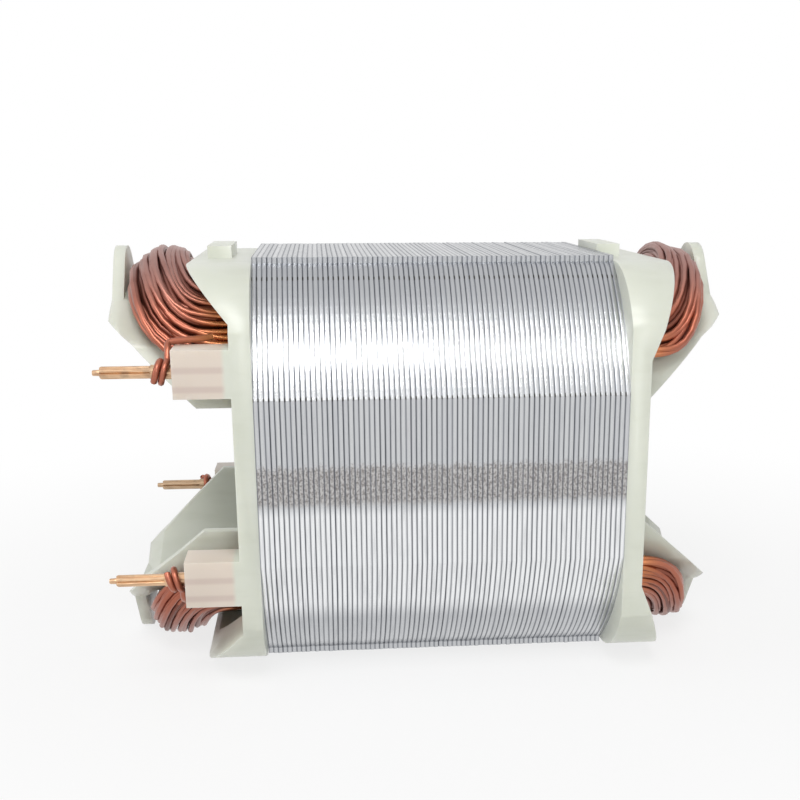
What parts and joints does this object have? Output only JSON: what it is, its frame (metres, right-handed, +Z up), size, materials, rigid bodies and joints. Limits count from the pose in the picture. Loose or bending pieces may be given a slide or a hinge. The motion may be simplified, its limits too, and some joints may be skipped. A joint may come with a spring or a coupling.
{
  "type": "stator lamination stack",
  "caption": "Motor field stator: pack of punched steel sheets with two poles, saddle-wound copper coils, moulded nylon end insulators and terminal pins.",
  "frame": {"origin": "on the armature bore's axis, halfway along the sheet pack", "axes": "+X along the bore from the terminal end to the plain end, +Y across to the far side, +Z up to the upper pole"},
  "size_m": [0.0642, 0.0454, 0.0432],
  "materials": {
    "steel": "punched sheet edges, bright with a duller torn band",
    "nylon": "natural moulded nylon, slightly see-through",
    "enamelled_copper": "copper wire under clear enamel",
    "slot_paper": "white insulating paper",
    "pin_brass": "drawn and dull"
  },
  "bodies": {
    "root": {"lamination_stack": "steel", "terminal_end_insulator": "nylon", "plain_end_insulator": "nylon", "upper_field_coil": "enamelled_copper", "lower_field_coil": "enamelled_copper", "upper_near_slot_liner": "slot_paper", "upper_far_slot_liner": "slot_paper", "lower_near_slot_liner": "slot_paper", "lower_far_slot_liner": "slot_paper", "upper_near_terminal_pin": "pin_brass", "upper_far_terminal_pin": "pin_brass", "lower_near_terminal_pin": "pin_brass", "lower_far_terminal_pin": "pin_brass", "upper_near_coil_lead": "enamelled_copper", "upper_far_coil_lead": "enamelled_copper", "lower_near_coil_lead": "enamelled_copper", "lower_far_coil_lead": "enamelled_copper"}
  },
  "joints": []
}
